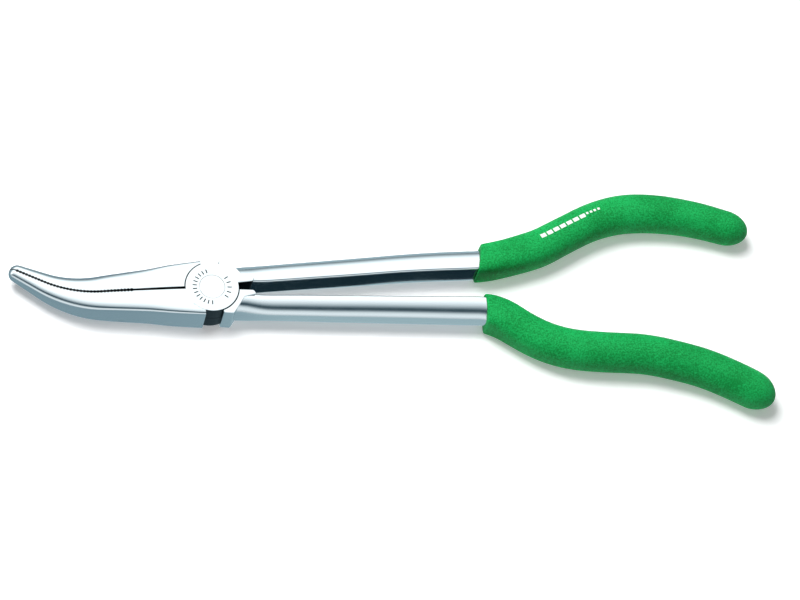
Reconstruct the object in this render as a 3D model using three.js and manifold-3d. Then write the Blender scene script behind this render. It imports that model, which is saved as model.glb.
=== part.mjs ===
// Long-reach bent-nose pliers: two forged halves crossing in a lap joint, a flush
// rivet through the joint, and a dipped plastic grip over the end of each handle.
//
// Millimetres, +Z up. The pivot axis is Z through the origin and the tool lies on Z = 0.
// The handles run towards +X and the nose towards -X, where it bends to +Y.
// The front half has the -Y jaw, the upper boss and the +Y handle; the back half has the
// +Y jaw, the lower boss and the -Y handle.
import * as THREE from 'three';
import { mergeVertices } from 'three/addons/utils/BufferGeometryUtils.js';
import Module from 'manifold-3d';

const wasm = await Module();
wasm.setup();

// ---- driving dimensions -----------------------------------------------------------------
const THICKNESS = 12.8;             // head, and the grips, so the tool lies flat
const MID = THICKNESS / 2;          // every section is centred on this level
const BOSS_RADIUS = 9.65;
const BOSS_RUNNING_GAP = 0.3;       // boss edge to the other half's shoulders
const LAP_GAP = 0.2;                // between the two boss faces

const NOSE_STRAIGHT = 39.5;         // pivot to the start of the bend
const NOSE_BEND_RADIUS = 40;
const NOSE_BEND = THREE.MathUtils.degToRad(30);
const NOSE_END = 13.6;              // straight length after the bend
const TIP_ROUNDING = 2.4;           // length of the rounded tip
const JAW_SHOULDER = 3.2;           // back of the jaw, before the boss axis

const SHOULDER_X = 3.3;             // front of the handle's head block, past the boss axis
const PAD_HALF_GAP = 1.25;          // stop pad to the centre line

const RIVET_RADIUS = 3.5;
const RIVET_HEAD_RADIUS = 4.6;
const RIVET_HEAD_DEPTH = 1.3;
const RIVET_CLEARANCE = 0.08;

const SLEEVE_FIT = 0.3;             // between a tang and the inside of its grip
const GRIP_DOME = 9.0;              // length of a grip's rounded end
const TANG_STOP = 11.0;             // end of the tang short of the grip's end
const SLEEVE_STOP = 1.2;            // extra depth of the sleeve past the tang
const SLEEVE_LEAD = 6.0;            // the sleeve's cutter starts this far outside the mouth

const JAW_EDGE = 0.3;               // chamfer along a jaw's gripping face
const BAR_EDGE = 1.1;               // chamfer along a handle's flat inner wall

const ROUND_SEGMENTS = 48;          // boss and rivet
const JAW_SIDES = 12;               // on the rounded outer side
const JAW_STEPS = 24;               // from shoulder to tip,
const TIP_STEPS = 3;                // of which the last ones round the tip,
const TIP_TURN = THREE.MathUtils.degToRad(66);   // by this much of a quarter turn
const BAR_SIDES = 10;               // on the rounded outer side
const BAR_STEP = 5.5;               // length of one step along a bar
const GRIP_SIDES = 20;
const GRIP_STEPS = 32;              // from mouth to end,
const DOME_STEPS = 5;               // of which the last ones round the end,
const DOME_TURN = THREE.MathUtils.degToRad(80);  // by this much of a quarter turn
const BISECTIONS = 30;              // to find where a centre line reaches an x
const WELD = 1e-4;                  // vertices closer than this are one

// Jaw sections at distances from the pivot along the slit: width from the slit to the
// outer edge, half height, squareness of the outer side (2 is half round), half slit.
const JAW_SECTIONS = [
  { at: 3.2, width: 10.4, half: 6.36, squareness: 12.0, slit: 0.5 },
  { at: 14.0, width: 9.45, half: 6.35, squareness: 8.0, slit: 0.5 },
  { at: 24.0, width: 8.2, half: 6.1, squareness: 7.0, slit: 0.4 },
  { at: 34.0, width: 7.4, half: 5.7, squareness: 6.0, slit: 0.32 },
  { at: 44.0, width: 6.5, half: 5.0, squareness: 4.0, slit: 0.26 },
  { at: 54.0, width: 5.3, half: 4.2, squareness: 2.8, slit: 0.25 },
  { at: 64.0, width: 3.9, half: 3.2, squareness: 2.2, slit: 0.25 },
  { at: 74.0, width: 2.5, half: 2.3, squareness: 2.0, slit: 0.25 },
];

// Head block between boss and bar, seen from above, for the +Y handle.
const HEAD_OUTLINE = [
  [SHOULDER_X, PAD_HALF_GAP], [8.2, PAD_HALF_GAP], [15.0, PAD_HALF_GAP + 0.5], [15.9, 3.4],
  [11.5, 4.3], [6.9, 10.8], [SHOULDER_X, 10.4],
];

// Centre lines of the two handles, head to grip end.
const BACK_HANDLE = [
  [6, -6.3], [18, -6.9], [32, -7.6], [43, -8.3], [54, -8.9], [69, -9.8], [84, -10.6], [95, -11.2],
  [101, -11.6], [107, -13.9], [113.5, -18.7], [120.5, -23.2], [127.5, -26.2], [135, -28.0],
  [143, -29.0], [161, -31.0], [172.5, -34.2], [180, -36.8], [190.5, -42.0], [199, -47.1],
  [205.7, -51.7],
];
const FRONT_HANDLE = [
  [6, 5.5], [19, 5.95], [33, 6.55], [45, 7.05], [56, 7.6], [71, 8.4], [86, 8.8], [97, 8.85],
  [103, 9.0], [110, 10.2], [118, 12.15], [126, 14.6], [132, 17.5], [138.5, 20.6], [145, 23.6],
  [151.5, 25.8], [159.5, 27.4], [167.5, 27.6], [179, 26.3], [190.5, 23.6], [199, 20.7],
  [208.0, 17.5],
];
const BACK_MOUTH_X = 101.0;         // where the back grip starts
const FRONT_MOUTH_X = 100.0;
const BACK_MOUTH_SLANT = -0.17;     // the mouths are cut across at a slant, this much
const FRONT_MOUTH_SLANT = 0.27;     // along for each millimetre sideways,
const MOUTH_HINGE = 0.6;            // about a line this share of the half width out,
const MOUTH_LENGTH = 16.0;          // and the slant dies away over this length

// Handle bars at distances along the centre line: width from the flat inner wall to the
// rounded outer side, half height. Past the mouth of the grip it is the hidden tang.
const BACK_BAR_SECTIONS = [
  { at: 0, width: 7.0, half: 6.2 },
  { at: 6.5, width: 7.4, half: 6.0 },
  { at: 12.5, width: 7.7, half: 4.95 },
  { at: 18, width: 7.8, half: 4.8 },
  { at: 38, width: 8.2, half: 5.05 },
  { at: 64, width: 8.4, half: 5.3 },
  { at: 92, width: 8.9, half: 5.3 },
  { at: 102, width: 8.8, half: 4.75 },
  { at: 122, width: 8.4, half: 3.6 },
  { at: 220, width: 8.0, half: 3.2 },
];
const FRONT_BAR_SECTIONS = [
  { at: 0, width: 7.0, half: 6.2 },
  { at: 6.5, width: 7.5, half: 6.0 },
  { at: 12.5, width: 8.05, half: 4.95 },
  { at: 18, width: 8.2, half: 4.8 },
  { at: 38, width: 8.5, half: 5.0 },
  { at: 64, width: 8.85, half: 5.15 },
  { at: 88, width: 9.25, half: 5.15 },
  { at: 102, width: 9.0, half: 4.7 },
  { at: 122, width: 8.4, half: 3.6 },
  { at: 220, width: 8.0, half: 3.2 },
];
const BAR_SQUARENESS = 2.4;

// Grip at distances from the mouth: half width, half height, squareness of the section.
const BACK_GRIP_SECTIONS = [
  { at: 0, width: 6.2, half: 6.1, squareness: 4.0 },
  { at: 12, width: 6.95, half: 6.36, squareness: 2.8 },
  { at: 40, width: 7.5, half: 6.36, squareness: 2.3 },
  { at: 100, width: 7.3, half: 6.36, squareness: 2.2 },
  { at: 120, width: 6.1, half: 6.36, squareness: 2.2 },
];
const FRONT_GRIP_SECTIONS = [
  { at: 0, width: 6.0, half: 6.1, squareness: 4.0 },
  { at: 12, width: 6.6, half: 6.36, squareness: 2.8 },
  { at: 24, width: 7.0, half: 6.36, squareness: 2.5 },
  { at: 40, width: 6.9, half: 6.36, squareness: 2.3 },
  { at: 68, width: 7.5, half: 6.36, squareness: 2.2 },
  { at: 90, width: 6.9, half: 6.36, squareness: 2.2 },
  { at: 112, width: 6.2, half: 6.36, squareness: 2.2 },
];

// What each half is made of. Its handle is across the centre line from its jaw.
const FRONT = {
  jawSide: -1, bossOnTop: true, handle: FRONT_HANDLE, bar: FRONT_BAR_SECTIONS,
  grip: FRONT_GRIP_SECTIONS, mouthX: FRONT_MOUTH_X, mouthSlant: FRONT_MOUTH_SLANT,
};
const BACK = {
  jawSide: 1, bossOnTop: false, handle: BACK_HANDLE, bar: BACK_BAR_SECTIONS,
  grip: BACK_GRIP_SECTIONS, mouthX: BACK_MOUTH_X, mouthSlant: BACK_MOUTH_SLANT,
};

const STEEL = { color: 0xc9ced0, metalness: 1.0, roughness: 0.22 };
const RIVET_STEEL = { color: 0xd3d6d8, metalness: 1.0, roughness: 0.26 };
const GREEN_VINYL = { color: 0x1f9e50, metalness: 0.0, roughness: 0.62 };

// ---- solids -------------------------------------------------------------------------------
function solidOf(geometry) {
  const bare = geometry.clone();
  bare.deleteAttribute('normal');
  bare.deleteAttribute('uv');
  const merged = mergeVertices(bare, WELD);
  return new wasm.Manifold(new wasm.Mesh({
    numProp: 3,
    vertProperties: new Float32Array(merged.attributes.position.array),
    triVerts: new Uint32Array(merged.index.array),
  }));
}

function meshOf(solid, name, finish) {
  const { vertProperties, triVerts } = solid.getMesh();
  const geometry = new THREE.BufferGeometry();
  geometry.setAttribute('position', new THREE.BufferAttribute(vertProperties, 3));
  geometry.setIndex(new THREE.BufferAttribute(triVerts, 1));
  geometry.computeVertexNormals();
  const mesh = new THREE.Mesh(geometry, new THREE.MeshStandardMaterial(finish));
  mesh.name = name;
  return mesh;
}

// Smooth values between the rows of a section table.
function sectionTable(rows, keys) {
  const interpolant = new THREE.CubicInterpolant(
    Float32Array.from(rows.map((row) => row.at)),
    Float32Array.from(rows.flatMap((row) => keys.map((key) => row[key]))),
    keys.length,
  );
  return (distance) => {
    const values = interpolant.evaluate(distance);
    return Object.fromEntries(keys.map((key, index) => [key, values[index]]));
  };
}

// A straight extrusion of a unit outline whose every vertex is then carried to its place.
function sweep(outline, curveSegments, steps, place) {
  const geometry = new THREE.ExtrudeGeometry(outline, {
    depth: 1, steps, curveSegments, bevelEnabled: false,
  });
  const position = geometry.attributes.position;
  for (let index = 0; index < position.count; index += 1) {
    const point = place(position.getX(index), position.getY(index), position.getZ(index));
    position.setXYZ(index, point.x, point.y, point.z);
  }
  return solidOf(geometry);
}

function unitCircle() {
  const circle = new THREE.Shape();
  circle.absarc(0, 0, 1, 0, 2 * Math.PI, false);
  return circle;
}

// The outline of a jaw or a handle bar before dSection gives it its size: a half circle for
// the rounded outer side, and two points at u = -1 for the flat inner wall.
function unitD() {
  const outline = new THREE.Shape();
  outline.absarc(0, 0, 1, -Math.PI / 2, Math.PI / 2, false);
  outline.lineTo(-1, 1);
  outline.lineTo(-1, -1);
  outline.closePath();
  return outline;
}

// Superellipse coordinate: power 2 leaves a circle, more makes it squarer.
function squared(value, power) {
  return Math.sign(value) * Math.abs(value) ** (2 / power);
}

// Distance out from the flat wall and height above the middle, for a point of unitD.
function dSection(u, v, width, half, squareness, edge) {
  if (u < -0.5) return { out: 0, up: Math.sign(v) * (half - edge) };
  return { out: edge + (width - edge) * squared(u, squareness), up: half * squared(v, squareness) };
}

function disc(radius, low, high) {
  const geometry = new THREE.CylinderGeometry(radius, radius, high - low, ROUND_SEGMENTS);
  geometry.rotateX(Math.PI / 2);
  geometry.translate(0, 0, (low + high) / 2);
  return solidOf(geometry);
}

// ---- jaws ---------------------------------------------------------------------------------
function slitPath() {
  const path = new THREE.Path();
  const bendEnd = -Math.PI / 2 - NOSE_BEND;
  const bendX = -NOSE_STRAIGHT + NOSE_BEND_RADIUS * Math.cos(bendEnd);
  const bendY = NOSE_BEND_RADIUS * (1 + Math.sin(bendEnd));
  path.moveTo(0, 0);
  path.lineTo(-NOSE_STRAIGHT, 0);
  path.absarc(-NOSE_STRAIGHT, NOSE_BEND_RADIUS, NOSE_BEND_RADIUS, -Math.PI / 2, bendEnd, true);
  path.lineTo(bendX - NOSE_END * Math.cos(NOSE_BEND), bendY + NOSE_END * Math.sin(NOSE_BEND));
  return path;
}

// One jaw, from its shoulder beside the boss to the tip. side is -1 for the -Y jaw.
function jaw(side) {
  const slit = slitPath();
  const length = slit.getLength();
  const sectionAt = sectionTable(JAW_SECTIONS, ['width', 'half', 'squareness', 'slit']);
  const bodySteps = JAW_STEPS - TIP_STEPS;
  return sweep(unitD(), JAW_SIDES, JAW_STEPS, (u, v, t) => {
    const step = Math.round(t * JAW_STEPS);
    const body = Math.min(1, step / bodySteps) * (length - TIP_ROUNDING - JAW_SHOULDER);
    const turn = Math.max(0, step - bodySteps) / TIP_STEPS * TIP_TURN;
    const distance = JAW_SHOULDER + body + TIP_ROUNDING * Math.sin(turn);
    const closing = Math.cos(turn);
    const section = sectionAt(distance);
    const point = slit.getPointAt(distance / length);
    const ahead = slit.getTangentAt(Math.min(0.999, distance / length));
    const { out, up } = dSection(u, v, section.width * closing, section.half * closing,
      section.squareness, JAW_EDGE);
    const across = new THREE.Vector2(ahead.y, -ahead.x).multiplyScalar(side);
    return new THREE.Vector3(
      point.x + across.x * (section.slit + out),
      point.y + across.y * (section.slit + out),
      // counted down on the mirrored jaw, so that its faces still point out
      MID - side * up,
    );
  });
}

// ---- handles --------------------------------------------------------------------------------
function centreLine(points) {
  const spots = points.map(([x, y]) => new THREE.Vector3(x, y, MID));
  return new THREE.CatmullRomCurve3(spots, false, 'centripetal');
}

// Distance along a centre line at which it reaches x.
function distanceAt(curve, x) {
  const length = curve.getLength();
  let low = 0;
  let high = 1;
  for (let pass = 0; pass < BISECTIONS; pass += 1) {
    const middle = (low + high) / 2;
    if (curve.getPointAt(middle).x < x) low = middle;
    else high = middle;
  }
  return low * length;
}

// The point of a handle at a distance along it, moved sideways in plan and in height.
function besideLine(curve, distance, sideways, height) {
  const place = THREE.MathUtils.clamp(distance / curve.getLength(), 0, 1);
  const point = curve.getPointAt(place);
  const ahead = curve.getTangentAt(place);
  return new THREE.Vector3(point.x - ahead.y * sideways, point.y + ahead.x * sideways, point.z + height);
}

// The bar and its tang; extra widens it all round, to cut the sleeve of the grip. The flat
// wall faces the other handle.
function handleBar(half, from, extra, shortOfEnd) {
  const curve = centreLine(half.handle);
  const end = curve.getLength() - shortOfEnd;
  const sectionAt = sectionTable(half.bar, ['width', 'half']);
  const side = -half.jawSide;
  return sweep(unitD(), BAR_SIDES, Math.round((end - from) / BAR_STEP), (u, v, t) => {
    const distance = from + (end - from) * t;
    const section = sectionAt(Math.max(0, distance));
    const width = section.width + 2 * extra;
    const { out, up } = dSection(u, v, width, section.half + extra, BAR_SQUARENESS, BAR_EDGE);
    return besideLine(curve, distance, side * (out - width / 2), side * up);
  });
}

// The flat head block between the boss and the bar, with its stop pad on the centre line.
function headBlock(side) {
  const outline = new THREE.Shape();
  const ordered = side > 0 ? HEAD_OUTLINE : HEAD_OUTLINE.map(([x, y]) => [x, -y]).reverse();
  ordered.forEach(([x, y], index) => (index ? outline.lineTo(x, y) : outline.moveTo(x, y)));
  outline.closePath();
  return solidOf(new THREE.ExtrudeGeometry(outline, { depth: THICKNESS, bevelEnabled: false }));
}

// ---- joint ----------------------------------------------------------------------------------
function rivetShape(clearance) {
  const shaft = RIVET_RADIUS + clearance;
  const head = RIVET_HEAD_RADIUS + clearance;
  const over = clearance > 0 ? 1 : 0;       // a cutting tool runs past both faces
  const profile = [
    new THREE.Vector2(0, -over), new THREE.Vector2(head, -over), new THREE.Vector2(head, 0),
    new THREE.Vector2(shaft, RIVET_HEAD_DEPTH), new THREE.Vector2(shaft, THICKNESS - RIVET_HEAD_DEPTH),
    new THREE.Vector2(head, THICKNESS), new THREE.Vector2(head, THICKNESS + over),
    new THREE.Vector2(0, THICKNESS + over),
  ].filter((point, index, all) => index === 0 || !point.equals(all[index - 1]));
  const geometry = new THREE.LatheGeometry(profile, ROUND_SEGMENTS);
  geometry.rotateX(Math.PI / 2);
  geometry.scale(1, -1, 1);
  return solidOf(flipped(geometry));
}

// Mirrored geometry with its faces turned out again.
function flipped(geometry) {
  const index = geometry.index.array;
  for (let face = 0; face < index.length; face += 3) {
    [index[face + 1], index[face + 2]] = [index[face + 2], index[face + 1]];
  }
  return geometry;
}

// A half of the tool: jaw on one side, handle on the other, and half of the lap joint.
function pliersHalf(half) {
  const whole = disc(BOSS_RADIUS, 0, THICKNESS)
    .add(jaw(half.jawSide))
    .add(headBlock(-half.jawSide))
    .add(handleBar(half, 0, 0, TANG_STOP));
  const relief = half.bossOnTop
    ? disc(BOSS_RADIUS + BOSS_RUNNING_GAP, -1, MID + LAP_GAP / 2)
    : disc(BOSS_RADIUS + BOSS_RUNNING_GAP, MID - LAP_GAP / 2, THICKNESS + 1);
  return whole.subtract(relief).subtract(rivetShape(RIVET_CLEARANCE));
}

// ---- grips ----------------------------------------------------------------------------------
function grip(half) {
  const curve = centreLine(half.handle);
  const mouth = distanceAt(curve, half.mouthX);
  const length = curve.getLength() - mouth;
  const sectionAt = sectionTable(half.grip, ['width', 'half', 'squareness']);
  const bodySteps = GRIP_STEPS - DOME_STEPS;
  const outside = sweep(unitCircle(), GRIP_SIDES / 2, GRIP_STEPS, (u, v, t) => {
    const step = Math.round(t * GRIP_STEPS);
    const body = Math.min(1, step / bodySteps) * (length - GRIP_DOME);
    const turn = Math.max(0, step - bodySteps) / DOME_STEPS * DOME_TURN;
    const along = body + GRIP_DOME * Math.sin(turn);
    const section = sectionAt(along);
    const sideways = squared(u, section.squareness) * section.width * Math.cos(turn);
    const up = squared(v, section.squareness) * section.half * Math.cos(turn);
    const slip = half.mouthSlant * (sideways + section.width * MOUTH_HINGE)
      * Math.max(0, 1 - along / MOUTH_LENGTH);
    return besideLine(curve, mouth + along + slip, sideways, up);
  });
  const sleeveFrom = mouth - SLEEVE_LEAD;
  return outside.subtract(handleBar(half, sleeveFrom, SLEEVE_FIT, TANG_STOP - SLEEVE_STOP));
}

// ---- assembly -------------------------------------------------------------------------------
const pliers = new THREE.Group();
pliers.add(
  meshOf(pliersHalf(FRONT), 'front_half', STEEL),
  meshOf(pliersHalf(BACK), 'back_half', STEEL),
  meshOf(rivetShape(0), 'pivot_rivet', RIVET_STEEL),
  meshOf(grip(FRONT), 'front_grip', GREEN_VINYL),
  meshOf(grip(BACK), 'back_grip', GREEN_VINYL),
);

export default pliers;
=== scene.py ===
"""Long reach bent nose pliers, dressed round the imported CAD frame.

Two plated steel halves cross in a lap joint held by a flush rivet, and a dipped plastic
grip covers the end of each handle. Sizes are in millimetres; a piece is brought to
metres when it is finished. The pivot axis is Z through the origin, the nose runs
towards -X and bends to +Y, and the tool lies on Z = 0.
"""
import logging
import math
from abc import ABC, abstractmethod
from collections.abc import Callable
from dataclasses import dataclass, field
from enum import Enum
from functools import cache

import bmesh
import bpy
from mathutils import Matrix, Vector


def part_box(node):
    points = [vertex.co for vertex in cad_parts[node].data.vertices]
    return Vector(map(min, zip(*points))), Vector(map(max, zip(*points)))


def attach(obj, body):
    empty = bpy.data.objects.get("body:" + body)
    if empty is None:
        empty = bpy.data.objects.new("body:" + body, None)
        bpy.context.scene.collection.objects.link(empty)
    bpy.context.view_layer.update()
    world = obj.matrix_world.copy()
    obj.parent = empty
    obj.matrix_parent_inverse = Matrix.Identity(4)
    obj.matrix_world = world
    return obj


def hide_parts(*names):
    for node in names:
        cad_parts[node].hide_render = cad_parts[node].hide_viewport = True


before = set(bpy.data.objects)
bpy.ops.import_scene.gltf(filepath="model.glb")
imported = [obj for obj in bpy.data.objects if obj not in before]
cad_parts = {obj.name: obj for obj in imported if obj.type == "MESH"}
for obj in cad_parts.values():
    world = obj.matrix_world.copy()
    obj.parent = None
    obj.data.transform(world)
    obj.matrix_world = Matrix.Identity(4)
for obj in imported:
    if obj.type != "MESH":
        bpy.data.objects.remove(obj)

log = logging.getLogger("pliers")

MM = 0.001
PER_METRE = 1 / MM                # a pattern's scale is this over its size in millimetres
RING_SCALE = math.pi / 10         # a wave pattern of scale 1 repeats every pi / 10
SAME_POINT = 1e-4                 # points closer than this are one
NO_LENGTH = 1e-5                  # an edge shorter than this is dropped
UPRIGHT = 0.5                     # an upright edge climbs more, and a wall's normal less
WALL_SHARE = 1 / 6                # of the points of half a D outline, those on its flat wall
EDGE_SHARE = 2 / 15               # and those on the rounded edge of that wall
OVERCUT = 1.0                     # how far a cutter runs past a face
CORNER_FACETS = 5                 # facets of the round on a plate's upright edges
RIM_FACETS = 3                    # and of the round on its rims
STEEL_CREASE = 24.0               # degrees: a steel edge that turns more stays crisp
VINYL_CREASE = 50.0               # the same for the mouth of a grip
INK_CREASE = 40.0                 # and for the sides of the print

Points = tuple[tuple[float, float], ...]
Rows = tuple[tuple[float, ...], ...]
Stops = tuple[tuple[float, str], ...]
Place = Callable[[float, float, int], Vector]
Inputs = dict[str | int, object]


class Side(Enum):
    """The side of the tool's centre line that a part lies on."""

    NEAR = -1
    FAR = 1

    @property
    def other(self) -> "Side":
        """The opposite side."""
        return Side(-self.value)


class Layer(Enum):
    """The half of the lap joint that a boss fills."""

    UPPER = "upper"
    LOWER = "lower"


class Cut(Enum):
    """What a second solid does to the first."""

    JOIN = "UNION"
    TAKE = "DIFFERENCE"


# ---- shapes ---------------------------------------------------------------------------
def blend(t: float, span: float) -> tuple[float, float, float, float]:
    """Weights that lead smoothly from one knot to the next.

    Args:
        t: 0 at the first knot and 1 at the second.
        span: the distance between the two.

    Returns:
        The weights of the first and second values, and of the first and second slopes.
    """
    left = (1 - t) ** 2
    return (1 + 2 * t) * left, t * t * (3 - 2 * t), t * left * span, t * t * (t - 1) * span


class SectionTable:
    """Sizes that change smoothly, and never overshoot, between rows of a table."""

    def __init__(self, rows: Rows) -> None:
        """Keeps the rows.

        Args:
            rows: each a distance followed by the sizes there.
        """
        self.at = [row[0] for row in rows]
        self.columns = [list(column) for column in list(zip(*rows))[1:]]
        self.slopes = [self._slopes(column) for column in self.columns]

    def _slopes(self, values: list[float]) -> list[float]:
        """Slope at each row: the harmonic mean of its neighbours', or level at a turn.

        Args:
            values: one size, row by row.

        Returns:
            One slope per row.
        """
        rises = [
            (after - before) / (end - start)
            for before, after, start, end in zip(values, values[1:], self.at, self.at[1:])
        ]
        inner = [
            2 * left * right / (left + right) if left * right > 0 else 0.0
            for left, right in zip(rises, rises[1:])
        ]
        return [rises[0], *inner, rises[-1]]

    def sizes(self, distance: float) -> tuple[float, ...]:
        """The sizes at a distance.

        Args:
            distance: held within the table's first and last rows.

        Returns:
            One value for each column.
        """
        distance = min(max(distance, self.at[0]), self.at[-1])
        row = max(i for i, at in enumerate(self.at[:-1]) if at <= distance)
        span = self.at[row + 1] - self.at[row]
        start, end, leave, arrive = blend((distance - self.at[row]) / span, span)
        return tuple(
            values[row] * start + values[row + 1] * end
            + slopes[row] * leave + slopes[row + 1] * arrive
            for values, slopes in zip(self.columns, self.slopes)
        )


class CentreLine:
    """A smooth line in plan through a few points, walked by distance."""

    STEP = 0.5
    SMOOTHING = 30
    SIGHT = 1.0                   # the direction is taken over this far either way

    def __init__(self, points: Points) -> None:
        """Lays the line through the points and evens its curvature.

        Args:
            points: plan points, head to grip end.
        """
        knots = [Vector(point) for point in points]
        spans = [(after - before).length for before, after in zip(knots, knots[1:])]
        rises = [(after - before) / span
                 for before, after, span in zip(knots, knots[1:], spans)]
        turns = [
            (before * next_span + after * span) / (span + next_span)
            for before, after, span, next_span in zip(rises, rises[1:], spans, spans[1:])
        ]
        ways = [rises[0], *turns, rises[-1]]
        line: list[Vector] = []
        for knot, span in enumerate(spans):
            count = max(2, round(span / self.STEP))
            for part in range(count):
                start, end, leave, arrive = blend(part / count, span)
                line.append(knots[knot] * start + knots[knot + 1] * end
                            + ways[knot] * leave + ways[knot + 1] * arrive)
        line.append(knots[-1])
        for _ in range(self.SMOOTHING):
            inner = [(a + 2 * b + c) / 4 for a, b, c in zip(line, line[1:], line[2:])]
            line = [line[0], *inner, line[-1]]
        self.line = line
        self.along = [0.0]
        for before, after in zip(line, line[1:]):
            self.along.append(self.along[-1] + (after - before).length)

    @property
    def length(self) -> float:
        """The whole length of the line."""
        return self.along[-1]

    def point(self, distance: float) -> Vector:
        """The plan point at a distance.

        Args:
            distance: held within the line.

        Returns:
            The point.
        """
        distance = min(max(distance, 0.0), self.length)
        low, high = 0, len(self.along) - 1
        while high - low > 1:
            middle = (low + high) // 2
            low, high = (middle, high) if self.along[middle] <= distance else (low, middle)
        part = (distance - self.along[low]) / (self.along[high] - self.along[low])
        return self.line[low].lerp(self.line[high], part)

    def ahead(self, distance: float) -> Vector:
        """The unit direction of the line at a distance.

        Args:
            distance: held within the line.

        Returns:
            The direction.
        """
        here, there = self.point(distance - self.SIGHT), self.point(distance + self.SIGHT)
        return (there - here).normalized()

    def reaches(self, x: float) -> float:
        """The distance at which the line reaches a value of X.

        Args:
            x: the plan coordinate.

        Returns:
            The first distance at or past it.
        """
        return next(d for d, point in zip(self.along, self.line) if point.x >= x)

    def beside(self, distance: float, sideways: float, height: float) -> Vector:
        """A point beside the line, square to it in plan.

        Args:
            distance: along the line.
            sideways: to the left of the direction of travel.
            height: above Z = 0.

        Returns:
            The point in space.
        """
        point, ahead = self.point(distance), self.ahead(distance)
        return Vector((point.x - ahead.y * sideways, point.y + ahead.x * sideways, height))


@cache
def centre_line(points: Points) -> CentreLine:
    """The smooth line through some points, laid once."""
    return CentreLine(points)


@cache
def section_table(rows: Rows) -> SectionTable:
    """The table of some rows, worked out once."""
    return SectionTable(rows)


@dataclass(frozen=True)
class NosePath:
    """The slit between the jaws in plan: straight, a bend, and straight to the tip."""

    straight: float = 39.5
    bend_radius: float = 40.0
    bend_degrees: float = 30.0
    end: float = 13.6

    @property
    def bend_length(self) -> float:
        """Length of the bend."""
        return self.bend_radius * math.radians(self.bend_degrees)

    @property
    def length(self) -> float:
        """Length from the pivot to the tip."""
        return self.straight + self.bend_length + self.end

    def locate(self, distance: float) -> tuple[Vector, Vector]:
        """Point and direction of the slit at a distance from the pivot.

        Args:
            distance: along the slit.

        Returns:
            The plan point and the unit direction towards the tip.
        """
        in_bend = min(max(distance - self.straight, 0.0), self.bend_length)
        turn = in_bend / self.bend_radius
        ahead = Vector((-math.cos(turn), math.sin(turn)))
        on_arc = Vector((-math.sin(turn), 1 - math.cos(turn))) * self.bend_radius
        first = Vector((-min(distance, self.straight), 0.0))
        return first + on_arc + ahead * max(0.0, distance - self.straight - in_bend), ahead

    def aside(self, spot: Vector) -> float:
        """How far a plan point lies from the slit's middle.

        Args:
            spot: a point on the nose's side of the pivot.

        Returns:
            The distance, the same on both sides.
        """
        centre = Vector((-self.straight, self.bend_radius))
        from_centre = spot.xy - centre
        turn = math.atan2(-from_centre.x, -from_centre.y)
        bend = math.radians(self.bend_degrees)
        if turn <= 0:
            return abs(spot.y)
        if turn <= bend:
            return abs(from_centre.length - self.bend_radius)
        out = Vector((-math.sin(bend), -math.cos(bend)))
        return abs(from_centre.dot(out) - self.bend_radius)


def squared(value: float, power: float) -> float:
    """A superellipse coordinate: a power of 2 leaves a circle, and more squares it."""
    return math.copysign(abs(value) ** (2 / power), value)


def d_outline(part: float, width: float, half: float, power: float,
              edge: float) -> tuple[float, float]:
    """A point of a D shaped outline, flat on the inside and round on the outside.

    Args:
        part: how far round, from 0 at the middle of the flat wall, over the top, to 1.
        width: flat wall to outer side.
        half: half the height.
        power: squareness of the outer side.
        edge: radius of the two edges of the flat wall.

    Returns:
        Distance out from the flat wall, and height above the middle.
    """
    round_share = 1 - WALL_SHARE - EDGE_SHARE
    up_sign = 1.0 if part <= 0.5 else -1.0
    over = 2 * min(part, 1 - part)
    if over <= WALL_SHARE:
        out, up = 0.0, (half - edge) * over / WALL_SHARE
    elif over <= WALL_SHARE + EDGE_SHARE:
        turn = (over - WALL_SHARE) / EDGE_SHARE * math.pi / 2
        out, up = edge * (1 - math.cos(turn)), half - edge * (1 - math.sin(turn))
    else:
        turn = (1 - over) / round_share * math.pi / 2
        out = edge + (width - edge) * squared(math.cos(turn), power)
        up = half * squared(math.sin(turn), power)
    return out, up_sign * up


def climb(edge: bmesh.types.BMEdge) -> float:
    """How much higher one end of an edge is than the other."""
    return abs(edge.verts[0].co.z - edge.verts[1].co.z)


def sweep(sides: int, stations: int, place: Place) -> bmesh.types.BMesh:
    """A closed bar made from a unit cylinder whose every point is carried to its place.

    Args:
        sides: points round the bar.
        stations: lengths that the bar is cut into.
        place: takes how far round (0 to 1), how far from the middle (0 at the centre of
            an end, otherwise 1) and the station's number, and gives the point.

    Returns:
        The bar, its faces pointing out.
    """
    bm = bmesh.new()
    bmesh.ops.create_cone(bm, cap_ends=True, cap_tris=True, segments=sides,
                          radius1=1.0, radius2=1.0, depth=1.0)
    lengthwise = [e for e in bm.edges if climb(e) > UPRIGHT]
    bmesh.ops.subdivide_edges(bm, edges=lengthwise, cuts=stations - 1)
    for vert in bm.verts:
        x, y, z = vert.co
        middle = min(1.0, round(math.hypot(x, y), 3))
        part = round(math.atan2(y, x) / math.tau * sides) % sides / sides
        vert.co = place(part, middle, round((z + 0.5) * stations))
    bmesh.ops.recalc_face_normals(bm, faces=bm.faces)
    return bm


def round_edges(bm: bmesh.types.BMesh, edges: list[bmesh.types.BMEdge], size: float,
                segments: int) -> None:
    """Rounds some edges.

    Args:
        bm: the shape.
        edges: those to round.
        size: how far in the round starts.
        segments: facets of each round.
    """
    bmesh.ops.bevel(bm, geom=edges, affect="EDGES", offset=size, segments=segments,
                    profile=0.5, material=-1)


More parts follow.
